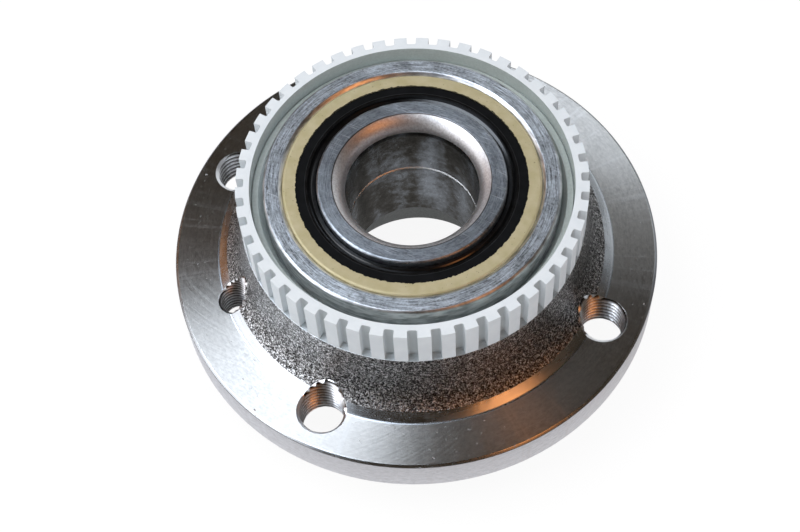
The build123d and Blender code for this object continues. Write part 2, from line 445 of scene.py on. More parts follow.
def place_in_mm(tree):
    """The point on the object in millimetres, in the row frame."""
    coordinates = tree.nodes.new("ShaderNodeTexCoord")
    scaled = node(tree, "ShaderNodeVectorMath", operation="SCALE", Scale=1 / MM)
    tree.links.new(coordinates.outputs["Object"], scaled.inputs[0])
    return scaled.outputs[0]


def round_axis(tree, place):
    """Radius from the spin axis, angle round it in radians, and height."""
    parts = tree.nodes.new("ShaderNodeSeparateXYZ")
    tree.links.new(place, parts.inputs[0])
    x, y, z = parts.outputs
    squares = math_node(tree, "ADD", math_node(tree, "MULTIPLY", x, x), math_node(tree, "MULTIPLY", y, y))
    return math_node(tree, "SQRT", squares), math_node(tree, "ARCTAN2", y, x), z


def noise_at(tree, where, scale=1.0, detail=2.0, roughness=0.5):
    """Noise from 0 to 1 at a place given as a vector socket."""
    made = node(tree, "ShaderNodeTexNoise", Scale=scale, Detail=detail, Roughness=roughness)
    tree.links.new(where, made.inputs["Vector"])
    return made.outputs["Fac"]


def round_noise(tree, place, along, across, twist=0.0, **settings):
    """Noise that runs round the spin axis without a seam.

    Along is how fast it changes round the axis, and across how fast it does outwards and upwards.
    """
    radius, angle, height = round_axis(tree, place)
    turned = math_node(tree, "MULTIPLY_ADD", radius, twist, angle)
    x = math_node(tree, "MULTIPLY", math_node(tree, "COSINE", turned), along)
    y = math_node(tree, "MULTIPLY", math_node(tree, "SINE", turned), along)
    z = math_node(tree, "MULTIPLY", math_node(tree, "ADD", radius, height), across)
    return noise_at(tree, vector_of(tree, x, y, z), **settings)


def ramp(tree, factor, *stops):
    """Colours or greys along a factor; each stop is (place, colour)."""
    made = tree.nodes.new("ShaderNodeValToRGB")
    elements = made.color_ramp.elements
    while len(elements) < len(stops):
        elements.new(0.5)
    for element, (place, colour) in zip(elements, stops):
        element.position = place
        element.color = (*colour, 1) if hasattr(colour, "__len__") else (colour, colour, colour, 1)
    tree.links.new(factor, made.inputs["Fac"])
    return made.outputs["Color"]


def blend_colours(tree, factor, first, second, mode="MIX"):
    """A colour between two colours or sockets."""
    made = tree.nodes.new("ShaderNodeMix")
    made.data_type = "RGBA"
    made.blend_type = mode
    wanted = {"Factor_Float": factor, "A_Color": first, "B_Color": second}
    for socket in made.inputs:
        if socket.identifier in wanted:
            give(tree, socket, wanted[socket.identifier])
    return next(s for s in made.outputs if s.identifier == "Result_Color")


def blend_shaders(tree, factor, first, second):
    """A shader between two shader sockets."""
    made = tree.nodes.new("ShaderNodeMixShader")
    for socket, value in zip(made.inputs, (factor, first, second)):
        tree.links.new(value, socket)
    return made.outputs[0]


def bump(tree, base, height, distance, after=None):
    """Bump from a height socket, over another bump if there is one; distance is in millimetres."""
    made = node(tree, "ShaderNodeBump", Strength=1.0, Distance=distance * MM)
    tree.links.new(height, made.inputs["Height"])
    if after is not None:
        tree.links.new(after, made.inputs["Normal"])
    tree.links.new(made.outputs["Normal"], base.inputs["Normal"])
    return made.outputs["Normal"]


def paint(tree, base, colour):
    """Gives the shader a colour socket."""
    tree.links.new(colour, base.inputs["Base Color"])


def roughen(tree, base, factor, span, lowest):
    """Roughness that rises with a factor, by span from its lowest; gives its socket."""
    rough = math_node(tree, "MULTIPLY_ADD", factor, span, lowest)
    tree.links.new(rough, base.inputs["Roughness"])
    return rough


def round_brushed(tree, base):
    """Points the shader's grooves along the turning circles round the spin axis."""
    tangent = node(tree, "ShaderNodeTangent", direction_type="RADIAL", axis="Z")
    tree.links.new(tangent.outputs["Tangent"], base.inputs["Tangent"])


# Materials

def turned_steel(name, colour, roughness, anisotropy, dotted=0.7):
    """Steel turned on a lathe: circular grooves, fine dots, chatter marks across them and small nicks."""
    material, tree, base = shader(name, 1.0, roughness, Anisotropic=anisotropy, Anisotropic_Rotation=0.25)
    round_brushed(tree, base)
    place = place_in_mm(tree)
    low, high = tuple(c * 0.68 for c in colour), tuple(min(c * 1.15, 1) for c in colour)
    blotches = noise_at(tree, place, 0.07, detail=3)
    rings = round_noise(tree, place, 3.0, 3.2, detail=3, roughness=0.7)
    dots = round_noise(tree, place, 45.0, 1.6, detail=3, roughness=0.7)
    chatter = round_noise(tree, place, 38.0, 0.12, twist=0.03, detail=2)
    strokes = ramp(tree, round_noise(tree, place, 60.0, 0.02, detail=0), (0.62, 0.0), (0.72, 1.0))
    nicks = ramp(tree, noise_at(tree, place, 0.8, detail=5, roughness=0.75), (0.665, 0.0), (0.70, 1.0))
    tone = weighted(tree, (rings, 1 - dotted), (dots, dotted))
    surface = blend_colours(tree, blotches, ramp(tree, tone, (0.38, low), (0.62, high)), colour)
    stroked = math_node(tree, "MULTIPLY", strokes, 0.18 * dotted)
    surface = blend_colours(tree, stroked, surface, (1.0, 1.0, 1.0))
    paint(tree, base, blend_colours(tree, nicks, surface, (0.95, 0.95, 0.96)))
    rough = roughen(tree, base, tone, 0.20, roughness - 0.10)
    roughen(tree, base, strokes, 0.10 * dotted, rough)
    after = bump(tree, base, rings, 0.004)
    after = bump(tree, base, dots, 0.012 * dotted, after=after)
    after = bump(tree, base, chatter, 0.032 * dotted, after=after)
    bump(tree, base, nicks, 0.08, after=after)
    return material


def thread_steel():
    """Cut thread: crests painted near-white as a highlight, grey flanks, and roots painted near-black as
    shade.
    """
    material, tree, base = shader("cut_thread", 1.0, 0.32)
    # The crest colour is a painted highlight and the root colour painted shade, laid on by the groove's
    # depth.
    crest, flank, root = (0.92, 0.91, 0.91), (0.30, 0.28, 0.27), (0.03, 0.025, 0.02)
    depth = node(tree, "ShaderNodeAttribute", attribute_name=THREAD_DEPTH)
    streak = noise_at(tree, place_in_mm(tree), 1.8, detail=2)
    painted_shade = math_node(tree, "MULTIPLY_ADD", streak, 0.3, depth.outputs["Fac"])
    paint(tree, base, ramp(tree, painted_shade, (0.32, crest), (0.60, flank), (0.9, root)))
    bump(tree, base, streak, 0.01)
    return material


def cast_steel():
    """Blasted casting skin: coarse grain, its pits painted near-black as shade and its peaks painted white
    as glints.
    """
    material, tree, base = shader("cast_steel", 1.0, 0.33)
    # Pits are painted near-black as shade and peaks white as glints; the skin colour between is the
    # metal's tone.
    painted_pit_shade, skin, painted_peak_glint = (0.012, 0.010, 0.008), (0.24, 0.23, 0.225), (0.99, 0.98, 0.98)
    place = place_in_mm(tree)
    coarse = noise_at(tree, place, 1.3, detail=3, roughness=0.65)
    fine = noise_at(tree, place, 2.7, detail=2, roughness=0.6)
    grain = weighted(tree, (coarse, 0.4), (fine, 0.6))
    paint(tree, base, ramp(tree, grain, (0.41, painted_pit_shade), (0.51, skin), (0.61, painted_peak_glint)))
    after = bump(tree, base, coarse, 0.18)
    bump(tree, base, fine, 0.15, after=after)
    return material


def scratches_along(tree, place, turn, seed, length=6.0, width=0.25):
    """Thin straight scratches all one way; 1 on a scratch and 0 beside it."""
    mapping = node(
        tree, "ShaderNodeMapping", vector_type="POINT",
        Rotation=(0, 0, math.radians(turn)),
        Scale=(1 / length, 1 / width, 1.0),
        Location=(seed, seed, seed),
    )
    tree.links.new(place, mapping.inputs["Vector"])
    return ramp(tree, noise_at(tree, mapping.outputs["Vector"], detail=2), (0.67, 0.0), (0.74, 1.0))


def ground_steel(name, colour, roughness, contrast, relief=0.006):
    """Ground bearing steel: circular grinding lines, mottled, with dark stains and crossing scratches."""
    material, tree, base = shader(name, 1.0, roughness, Anisotropic=0.2, Anisotropic_Rotation=0.25)
    round_brushed(tree, base)
    place = place_in_mm(tree)
    low = tuple(c * (1 - contrast) for c in colour)
    high = tuple(min(c * (1 + contrast / 2), 1) for c in colour)
    lines = round_noise(tree, place, 7.0, 4.0, detail=4, roughness=0.75)
    mottle = noise_at(tree, place, 1.6, detail=4, roughness=0.7)
    blotches = noise_at(tree, place, 0.2, detail=3, roughness=0.6)
    stains = round_noise(tree, place, 12.0, 1.6, detail=4, roughness=0.7)
    stained = ramp(tree, stains, (0.58, 0.0), (0.66, contrast))
    tone = weighted(tree, (blotches, 0.2), (lines, 0.6), (mottle, 0.2))
    surface = ramp(tree, tone, (0.40, low), (0.59, high))
    surface = blend_colours(tree, stained, surface, (0.07, 0.052, 0.04))
    roughen(tree, base, lines, 0.36, roughness - 0.18)
    after = bump(tree, base, mottle, relief)
    after = bump(tree, base, lines, relief * 2, after=after)
    for turn, seed in ((25.0, 3.1), (52.0, 7.7), (78.0, 12.3), (-40.0, 19.9)):
        scratches = scratches_along(tree, place, turn, seed)
        scratched = math_node(tree, "MULTIPLY", scratches, 0.6)
        surface = blend_colours(tree, scratched, surface, (0.95, 0.95, 0.97))
        after = bump(tree, base, scratches, relief, after=after)
    paint(tree, base, surface)
    return material


def honed_steel():
    """The axle bore: polished, stained, with painted reflection streaks along it and a painted highlight
    at the joint.
    """
    material, tree, base = shader("honed_bore", 1.0, 0.2)
    # The brightest colour is a painted reflection: bluish streaks running along the bore.
    stained, plain, painted_reflection = (0.03, 0.026, 0.018), (0.19, 0.18, 0.165), (0.80, 0.87, 0.97)
    place = place_in_mm(tree)
    streaks_and_reflection = round_noise(tree, place, 1.7, 0.03, detail=1)
    stains = noise_at(tree, place, 0.45, detail=5, roughness=0.75)
    grain = noise_at(tree, place, 1.6, detail=4, roughness=0.75)
    tone = weighted(tree, (streaks_and_reflection, 0.62), (stains, 0.38))
    surface = ramp(tree, tone, (0.40, stained), (0.52, plain), (0.68, painted_reflection))
    _, _, height = round_axis(tree, place)
    # A painted highlight along the joint between the inner rings.
    from_joint = apart(tree, height, BEARING_MIDDLE)
    joint = ramp(tree, from_joint, (INNER_RING_CHAMFER, 1.0), (INNER_RING_CHAMFER + 0.1, 0.0))
    paint(tree, base, blend_colours(tree, joint, surface, (1.0, 0.97, 0.93)))
    rough = roughen(tree, base, grain, 0.2, 0.14)
    roughen(tree, base, joint, 0.3, rough)
    bump(tree, base, grain, 0.006)
    return material


def polished_lead_in():
    """The curved lead-in of the bore: evenly polished, with a dark line of painted shade along its outer
    edge.
    """
    material, tree, base = shader("polished_lead_in", 1.0, 0.45)
    place = place_in_mm(tree)
    grain = noise_at(tree, place, 2.0, detail=3, roughness=0.7)
    polish = ramp(tree, grain, (0.35, (0.64, 0.61, 0.60)), (0.65, (0.88, 0.86, 0.85)))
    radius, _, _ = round_axis(tree, place)
    # Painted shade: a dark line where the lead-in meets the end face.
    from_edge = math_node(tree, "SUBTRACT", AXLE_FILLET_RADIUS, radius)
    line = ramp(tree, from_edge, (EDGE_SHADE_WIDTH, 1.0), (EDGE_SHADE_WIDTH + EDGE_SHADE_FADE, 0.0))
    paint(tree, base, blend_colours(tree, line, polish, (0.10, 0.09, 0.085)))
    roughen(tree, base, grain, 0.2, 0.35)
    bump(tree, base, grain, 0.006)
    return material


def polished_edges():
    """Outside and broken edges of the outer ring, brighter than its end faces."""
    material, tree, base = shader("polished_edges", 1.0, 0.36)
    wear = round_noise(tree, place_in_mm(tree), 9.0, 0.8, detail=3)
    paint(tree, base, ramp(tree, wear, (0.35, (0.42, 0.43, 0.45)), (0.6, (0.88, 0.88, 0.90))))
    bump(tree, base, wear, 0.01)
    return material


def shaded_grey_green_coat(name):
    """Grey-green darker than the ring's coat, painted as shade with a reflected tint, on the sensor ring's
    bore and the nose beside it.
    """
    material, tree, base = shader(name, 0.1, 0.4)
    grain = noise_at(tree, place_in_mm(tree), 1.6, detail=3)
    # Painted shade with a reflected grey-green tint, darker than the ring's own coat.
    paint(tree, base, ramp(tree, grain, (0.3, (0.54, 0.60, 0.575)), (0.7, (0.62, 0.68, 0.655))))
    bump(tree, base, grain, 0.01)
    return material


def ring_coat():
    """Matte white-silver coat of the sensor ring, greyer on the floors of its gaps as painted shade."""
    material, tree, base = shader("ring_coat", 0.0, 0.5)
    place = place_in_mm(tree)
    cloud = noise_at(tree, place, 0.25, detail=3)
    unshaded_coat = ramp(tree, cloud, (0.3, (0.70, 0.745, 0.775)), (0.7, (0.76, 0.80, 0.825)))
    radius, _, height = round_axis(tree, place)
    # Painted shade: the gap floors are darkened below the tooth tops.
    above_floor = math_node(tree, "SUBTRACT", radius, TOOTH_ROOT_RADIUS)
    below_top = math_node(tree, "SUBTRACT", RING_TOP, height)
    in_gap = ramp(tree, above_floor, (0.0, 1.0), (0.6, 0.0))
    off_top = ramp(tree, below_top, (0.05, 0.0), (0.3, 0.7))
    painted_shade = math_node(tree, "MULTIPLY", in_gap, off_top)
    paint(tree, base, blend_colours(tree, painted_shade, unshaded_coat, (0.36, 0.39, 0.39)))
    bump(tree, base, noise_at(tree, place, 3.5, detail=2), 0.02)
    return material


def passivated_sheet():
    """Khaki-gold passivated steel sheet of the seal cases, a little browner at its edges."""
    material, tree, base = shader("passivated_sheet", 0.35, 0.5)
    place = place_in_mm(tree)
    cloud = noise_at(tree, place, 0.35, detail=3)
    plain = ramp(tree, cloud, (0.3, (0.47, 0.405, 0.225)), (0.75, (0.56, 0.49, 0.31)))
    radius, _, _ = round_axis(tree, place)
    middle = (CASE_BORE_RADIUS + SEAL_SEAT_RADIUS) / 2
    from_middle = math_node(tree, "MULTIPLY_ADD", cloud, 0.8, apart(tree, radius, middle))
    share = math_node(tree, "DIVIDE", from_middle, SEAL_SEAT_RADIUS - middle)
    edges = ramp(tree, share, (1.05, 0.0), (1.45, 0.6))
    specks = ramp(tree, noise_at(tree, place, 1.9, detail=3), (0.70, 0.0), (0.74, 0.8))
    tinted = blend_colours(tree, edges, plain, (0.36, 0.21, 0.06))
    paint(tree, base, blend_colours(tree, specks, tinted, (0.08, 0.06, 0.03)))
    bump(tree, base, noise_at(tree, place, 4.0, detail=2), 0.012)
    return material


def greased_rubber():
    """Black nitrile rubber, dull on the bonded part and greased at the lips."""
    material, tree, base = shader("greased_rubber", 0.0, 0.35)
    place = place_in_mm(tree)
    radius, _, _ = round_axis(tree, place)
    smear = noise_at(tree, place, 0.5, detail=3)
    paint(tree, base, ramp(tree, smear, (0.35, (0.0015, 0.0015, 0.0015)), (0.75, (0.004, 0.004, 0.0045))))
    dull = node(tree, "ShaderNodeMapRange")
    tree.links.new(radius, dull.inputs["Value"])
    dull.inputs["From Min"].default_value = GREASE_RADIUS
    dull.inputs["From Max"].default_value = GREASE_RADIUS + GREASE_FADE
    dull.inputs["To Min"].default_value = 0.14
    dull.inputs["To Max"].default_value = 0.48
    roughen(tree, base, smear, 0.12, dull.outputs["Result"])
    gloss = math_node(tree, "MULTIPLY_ADD", dull.outputs["Result"], -2.0, 1.08)
    tree.links.new(gloss, base.inputs["Specular IOR Level"])
    bump(tree, base, noise_at(tree, place, 2.4, detail=2), 0.012)
    return material


def cage_nylon():
    """Natural moulded nylon of the ball cages."""
    material, tree, base = shader("cage_nylon", 0.0, 0.45)
    place = place_in_mm(tree)
    cloud = noise_at(tree, place, 0.3, detail=2)
    paint(tree, base, ramp(tree, cloud, (0.3, (0.60, 0.52, 0.36)), (0.7, (0.68, 0.61, 0.45))))
    bump(tree, base, noise_at(tree, place, 2.0, detail=2), 0.01)
    return material


def ball_steel():
    """Polished bearing balls with a faint oil film."""
    material, tree, base = shader("ball_steel", 1.0, 0.08)
    streaks_and_reflection = noise_at(tree, place_in_mm(tree), 0.6, detail=2)
    paint(tree, base, ramp(tree, streaks_and_reflection, (0.3, 0.62), (0.7, 0.72)))
    roughen(tree, base, streaks_and_reflection, 0.08, 0.05)
    return material


# Hub

FLANGE, RIM, STEP, CASTING, NOSE, NOSE_FACE = range(6)


def cast_run():
    """The cast surface from the step's top up to the shoulder, as finely spaced points."""
    slope = (BARREL_FOOT_RADIUS - BARREL_TOP_RADIUS, BARREL_FOOT - SHOULDER)
    foot, top = (STEP_TOP_RADIUS, STEP_TOP), (BARREL_FOOT_RADIUS, BARREL_FOOT)
    fillet = bend(top, foot, slope, CAST_FILLET_STEPS)
    return dense([*reversed(fillet), (BARREL_TOP_RADIUS, SHOULDER)], CAST_GRID)


def step_run():
    """The turned step from the flange's face up to the casting, with its rounded foot."""
    slope = Vector((STEP_TOP_RADIUS - STEP_FOOT_RADIUS, STEP_TOP - FLANGE_TOP)).normalized()
    turn = math.acos(-slope.x)
    reach = STEP_FILLET * math.tan(turn / 2)
    foot = Vector((STEP_FOOT_RADIUS, FLANGE_TOP))
    arc = bend(foot + Vector((reach, 0)), foot + slope * reach, (-1, 0), STEP_FOOT_STEPS)
    return [*arc, (STEP_TOP_RADIUS, STEP_TOP)]


def hub_outline():
    """The hub's closed section with a zone for each surface finish."""
    step = step_run()
    flange_face = dense([(FLANGE_RADIUS - FLANGE_EDGE, FLANGE_TOP), step[0]], FLANGE_GRID)
    return outline_of(
        (FLANGE, [
            (CAP_BORE + CAP_BORE_CHAMFER, SPIGOT_END),
            (SPIGOT_RADIUS - REGISTER_CHAMFER, SPIGOT_END),
            (SPIGOT_RADIUS, SPIGOT_END + REGISTER_CHAMFER),
            (SPIGOT_RADIUS, DISC_REGISTER_END),
            (DISC_REGISTER_RADIUS - REGISTER_CHAMFER, DISC_REGISTER_END),
            (DISC_REGISTER_RADIUS, DISC_REGISTER_END + REGISTER_CHAMFER),
            (DISC_REGISTER_RADIUS, 0),
            (FLANGE_RADIUS - FLANGE_EDGE, 0),
        ]),
        (RIM, [(FLANGE_RADIUS - FLANGE_EDGE, 0), (FLANGE_RADIUS, FLANGE_EDGE)]),
        (STEP, [(FLANGE_RADIUS, FLANGE_TOP - FLANGE_EDGE)]),
        (FLANGE, flange_face),
        (STEP, step),
        (CASTING, cast_run()),
        (NOSE, [
            (BARREL_TOP_RADIUS, SHOULDER),
            (NOSE_RADIUS, SHOULDER),
            (NOSE_RADIUS, NOSE_TOP - NOSE_CHAMFER),
        ]),
        (NOSE_FACE, [
            (NOSE_RADIUS - NOSE_CHAMFER, NOSE_TOP),
            (NOSE_FACE_RADIUS, NOSE_TOP),
        ]),
        (NOSE, [
            (BEARING_RADIUS, SEAT_MOUTH),
            (BEARING_RADIUS, SEAT_FLOOR),
            (WELL_RADIUS, SEAT_FLOOR),
            (WELL_RADIUS, WELL_FLOOR),
            (CAP_BORE, WELL_FLOOR),
            (CAP_BORE, SPIGOT_END + CAP_BORE_CHAMFER),
        ]),
    )


def flange_holes():
    """Each hole through the flange as its name, the place of its axis and its sizes."""
    holes = [
        (f"wheel_bolt_{i + 1}", polar(BOLT_CIRCLE_RADIUS, 360.0 / BOLT_COUNT * i), BOLT_HOLE)
        for i in range(BOLT_COUNT)
    ]
    return [*holes, ("disc_screw", polar(SCREW_CIRCLE_RADIUS, SCREW_ANGLE), SCREW_HOLE)]


def hole_cutter(place, hole):
    """A closed cutter: the hole's shaft with its lead-in cone below."""
    x, y = place
    shaft = hole["radius"]
    mouth = shaft + hole["lead"] + CUT_OVERRUN
    levels = [(mouth, -CUT_OVERRUN), (shaft, hole["lead"]), (shaft, SHOULDER - CUT_OVERRUN)]
    vertices = [
        (x + r * math.cos(angle), y + r * math.sin(angle), z)
        for r, z in levels
        for angle in round_angles(HOLE_STEPS)
    ]
    lid = range((len(levels) - 1) * HOLE_STEPS, len(levels) * HOLE_STEPS)
    ends = [tuple(reversed(range(HOLE_STEPS))), tuple(lid)]
    return piece_from("cutter", vertices, ends + bands(HOLE_STEPS, len(levels)))


def cut_holes(hub):
    """Cuts the flange's holes through the hub and applies the cuts."""
    cutters = [hole_cutter(place, hole) for _, place, hole in flange_holes()]
    for cutter in cutters:
        cut = hub.modifiers.new("hole", "BOOLEAN")
        cut.operation = "DIFFERENCE"
        cut.solver = "EXACT"
        cut.object = cutter
    depsgraph = bpy.context.evaluated_depsgraph_get()
    mesh = bpy.data.meshes.new_from_object(hub.evaluated_get(depsgraph))
    hub.modifiers.clear()
    hub.data = mesh
    for cutter in cutters:
        bpy.data.meshes.remove(cutter.data)


def roughen_casting(hub):
    """Moves the cast surface's points in and out a little, but for those at its borders."""
    mesh = hub.data
    in_cast = np.zeros(len(mesh.vertices), bool)
    beside_cast = np.zeros(len(mesh.vertices), bool)
    for polygon in mesh.polygons:
        target = in_cast if polygon.material_index == CASTING else beside_cast
        target[list(polygon.vertices)] = True
    normals = [v.normal.copy() for v in mesh.vertices]
    points = [v.co.copy() for v in mesh.vertices]
    for i in np.flatnonzero(in_cast & ~beside_cast):
        place = points[i] / (CAST_LUMP * MM)
        push = noise.noise(place) + 0.5 * noise.noise(place * 2.1)
        points[i] += normals[i] * (push * CAST_RELIEF * MM)
    mesh.vertices.foreach_set("co", np.array(points, np.float32).ravel())
    mesh.update()


def surface_height(radius):
    """Height of the hub's inboard side over a radius outside the barrel."""
    points = sorted([*step_run(), *cast_run()])
    return float(np.interp(radius, [r for r, _ in points], [z for _, z in points], right=FLANGE_TOP))


def thread_point(hole, height, angle, top):
    """Radius of a thread at a height and angle, and its depth in the groove there, from 0 to 1.

    A cone widens both ends, and the one at the top is half as high.
    """
    wave = abs(2 * ((height / hole["pitch"] - angle / (2 * math.pi)) % 1) - 1)
    groove = min(max((wave - CREST_SHARE) / FLANK_SHARE, 0), 1)
    cut = hole["crest"] + (hole["radius"] - hole["crest"]) * GROOVE_SHARE * groove
    lead = min(height - hole["lead"], 2 * (top - height))
    cone = hole["radius"] - max(lead, 0)
    return (cut, groove) if cut >= cone else (cone, 0.0)


def make_thread(name, place, hole, steel):
    """The helical thread in a hole, from its lead-in up to the hub's surface."""
    x, y = place
    low = hole["lead"]
    angles = round_angles(HOLE_STEPS)
    walls = [(x + hole["radius"] * math.cos(a), y + hole["radius"] * math.sin(a)) for a in angles]
    tops = [surface_height(math.hypot(*wall)) for wall in walls]
    rows = math.ceil((max(tops) - low) / hole["pitch"] * THREAD_ROWS_PER_TURN)
    vertices, depths = [], []
    for i in range(rows + 1):
        for angle, top in zip(angles, tops):
            z = low + (top - low) * i / rows
            radius, depth = thread_point(hole, z, angle, top)
            vertices.append((x + radius * math.cos(angle), y + radius * math.sin(angle), z))
            depths.append(depth)
    inwards = [(b, a, d, c) for a, b, c, d in bands(HOLE_STEPS, rows + 1, closed=True)]
    piece = piece_from(name, vertices, inwards)
    piece.data.attributes.new(THREAD_DEPTH, "FLOAT", "POINT").data.foreach_set("value", depths)
    tidy(piece.data)
    finish_piece(piece, "hub", [steel])


def make_hub():
    """The hub with its finishes, and the threads in its holes."""
    hub = lathe("hub", rounded(hub_outline()), HUB_STEPS)
    cut_holes(hub)
    roughen_casting(hub)
    shade(hub.data)
    flange = turned_steel("turned_flange", (0.68, 0.66, 0.63), 0.32, 1.0)
    rim = turned_steel("turned_rim", (0.80, 0.80, 0.84), 0.5, 0.3)
    step = turned_steel("turned_step", (0.58, 0.60, 0.62), 0.27, 0.6, dotted=0.1)
    nose = turned_steel("turned_nose", (0.66, 0.68, 0.68), 0.45, 0.5)
    # The nose's face takes the grey-green coat that is painted as shade.
    finishes = [flange, rim, step, cast_steel(), nose, shaded_grey_green_coat("nose_shaded_coat")]
    finish_piece(hub, "hub", finishes, "hub_flange")
    cut_thread = thread_steel()
    for name, place, hole in flange_holes():
        make_thread(f"thread_{name}", place, hole, cut_thread)


# Toothed ring

def tooth_outline():
    """The ring's outer edge, once round: gap floors with rounded corners and tooth tips."""
    points = []
    half = GAP_WIDTH / 2
    pitch = 360 / TOOTH_COUNT
    floor = TOOTH_ROOT_RADIUS
    corner = bend((floor + GAP_CORNER, -half), (floor, GAP_CORNER - half), (-1, 0), GAP_CORNER_STEPS)
    mirrored = [(x, -y) for x, y in reversed(corner)]
    tip_angle = math.degrees(math.asin(half / TOOTH_TIP_RADIUS))
    for k in range(TOOTH_COUNT):
        middle = pitch * (k + 0.5)
        turn = Matrix.Rotation(math.radians(middle), 2)
        points += [tuple(turn @ Vector(p)) for p in [*corner, *mirrored]]
        start, end = middle + tip_angle, middle + pitch - tip_angle
        for i in range(TOOTH_TIP_STEPS + 1):
            points.append(polar(TOOTH_TIP_RADIUS, start + (end - start) * i / TOOTH_TIP_STEPS))
    return points


def make_toothed_ring():
    """The sensor ring with slightly broken edges and a darker grey-green in its bore as painted shade."""
    outer = tooth_outline()
    count = len(outer)
    inner = [(NOSE_RADIUS * x / math.hypot(x, y), NOSE_RADIUS * y / math.hypot(x, y)) for x, y in outer]
    levels = [(inner, SHOULDER), (outer, SHOULDER), (outer, RING_TOP), (inner, RING_TOP)]
    vertices = [(x, y, z) for points, z in levels for x, y in points]
    in_bore = len(levels) - 1
    zones = [int(level == in_bore) for level in range(len(levels)) for _ in outer]
    ring = piece_from("sensor_ring", vertices, bands(count, len(levels), closed=True), zones)
    tidy(ring.data)
    edge = ring.modifiers.new("edges", "BEVEL")
    edge.width = RING_EDGE_BEVEL * MM
    edge.segments = 2
    edge.limit_method = "ANGLE"
    edge.angle_limit = BEVEL_ANGLE
    edge.harden_normals = True
    # The bore takes the darker grey-green coat, painted as shade.
    coats = [ring_coat(), shaded_grey_green_coat("ring_bore_shaded_coat")]
    finish_piece(ring, "hub", coats, "toothed_ring")


# Bearing

def along(facing, distance):
    """Height of what lies this far from the bearing's middle plane."""
    return BEARING_MIDDLE + facing * distance


def outer_ring_half():
    """Half the outer ring's section, from its shoulder to its outside, as radius and distance along."""
    groove_out = BALL_PITCH_RADIUS - GROOVE_SHIFT_OUT
    groove_place = ROW_PLACE + GROOVE_SHIFT_ALONG
    floor = groove_out + GROOVE_RADIUS
    inward = OUTER_SHOULDER_RADIUS - groove_out
    shoulder_end = groove_place - math.sqrt(GROOVE_RADIUS**2 - inward**2)
    shoulder = (OUTER_SHOULDER_RADIUS, shoulder_end)
    leaving = (inward, groove_place - shoulder_end)
    return [
        *bend(shoulder, (floor, groove_place), leaving, OUTER_GROOVE_STEPS),
        (floor, OUTER_RING_HALF_WIDTH - SEAL_SEAT_DEPTH),
        (SEAL_SEAT_RADIUS, OUTER_RING_HALF_WIDTH - SEAL_SEAT_DEPTH),
        (SEAL_SEAT_RADIUS, OUTER_RING_HALF_WIDTH - SEAL_MOUTH),
        (SEAL_SEAT_RADIUS + SEAL_MOUTH, OUTER_RING_HALF_WIDTH),
        (BEARING_RADIUS - OUTER_RING_CHAMFER, OUTER_RING_HALF_WIDTH),
        (BEARING_RADIUS, OUTER_RING_HALF_WIDTH - OUTER_RING_CHAMFER),
    ]


def make_outer_ring(steel):
    """The bearing's outer ring, polished but for its two end faces."""
    half = outer_ring_half()
    top = [(r, along(1, t)) for r, t in half]
    bottom = [(r, along(-1, t)) for r, t in reversed(half)]
    outline = outline_of((0, [*reversed(top), *reversed(bottom)]))
    ring = lathe("bearing_outer_ring", rounded(outline))
    for polygon in ring.data.polygons:
        polygon.material_index = int(abs(polygon.normal.z) < END_FACE_SHARE)
    finish_piece(ring, "hub", [steel, polished_edges()], "outer_ring")


def inner_ring_mouth(end):
    """The end of an inner ring's bore as its points and how many steps of it are honed like the bore."""
    end_face = INNER_RING_WIDTH
    if end == "inboard":
        foot, top = (AXLE_BORE_RADIUS, end_face - AXLE_FILLET_LENGTH), (AXLE_FILLET_RADIUS, end_face)
        return bend(foot, top, (0, 1), LEAD_IN_STEPS), LEAD_IN_HONED_STEPS
    chamfer = INNER_RING_CHAMFER
    return [(AXLE_BORE_RADIUS, end_face - chamfer), (AXLE_BORE_RADIUS + chamfer, end_face)], 0


def make_inner_ring(end, facing, finishes):
    """One inner ring, with its lead-in for the axle at the inboard end."""
    groove_out = BALL_PITCH_RADIUS + GROOVE_SHIFT_OUT
    groove_place = ROW_PLACE - GROOVE_SHIFT_ALONG
    land_reach = math.sqrt(GROOVE_RADIUS**2 - (groove_out - LAND_RADIUS) ** 2)
    low_reach = math.sqrt(GROOVE_RADIUS**2 - (groove_out - LOW_SHOULDER_RADIUS) ** 2)
    floor = (groove_out - GROOVE_RADIUS, groove_place)
    low_steps, land_steps = INNER_GROOVE_STEPS
    mouth, honed = inner_ring_mouth(end)
    outside = [
        (AXLE_BORE_RADIUS + INNER_RING_CHAMFER, 0),
        (LOW_SHOULDER_RADIUS - INNER_RING_CHAMFER, 0),
        (LOW_SHOULDER_RADIUS, INNER_RING_CHAMFER),
        *reversed(bend(floor, (LOW_SHOULDER_RADIUS, groove_place - low_reach), (0, -1), low_steps)),
        *bend(floor, (LAND_RADIUS, groove_place + land_reach), (0, 1), land_steps),
        (LAND_RADIUS, INNER_RING_WIDTH - INNER_RING_CHAMFER),
        (LAND_RADIUS - INNER_RING_CHAMFER, INNER_RING_WIDTH),
        mouth[-1],
    ]
    lead_in = list(reversed(mouth[honed:]))
    bore = [
        *reversed(mouth[:honed + 1]),
        (AXLE_BORE_RADIUS, INNER_RING_CHAMFER),
        (AXLE_BORE_RADIUS + INNER_RING_CHAMFER, 0),
    ]
    stretches = [
        (zone, [(r, along(facing, t)) for r, t in points])
        for zone, points in enumerate((outside, lead_in, bore))
    ]
    ring = lathe(f"bearing_inner_ring_{end}", rounded(outline_of(*stretches)))
    tidy(ring.data)
    finish_piece(ring, "inner_rings", finishes, f"inner_ring_{end}")


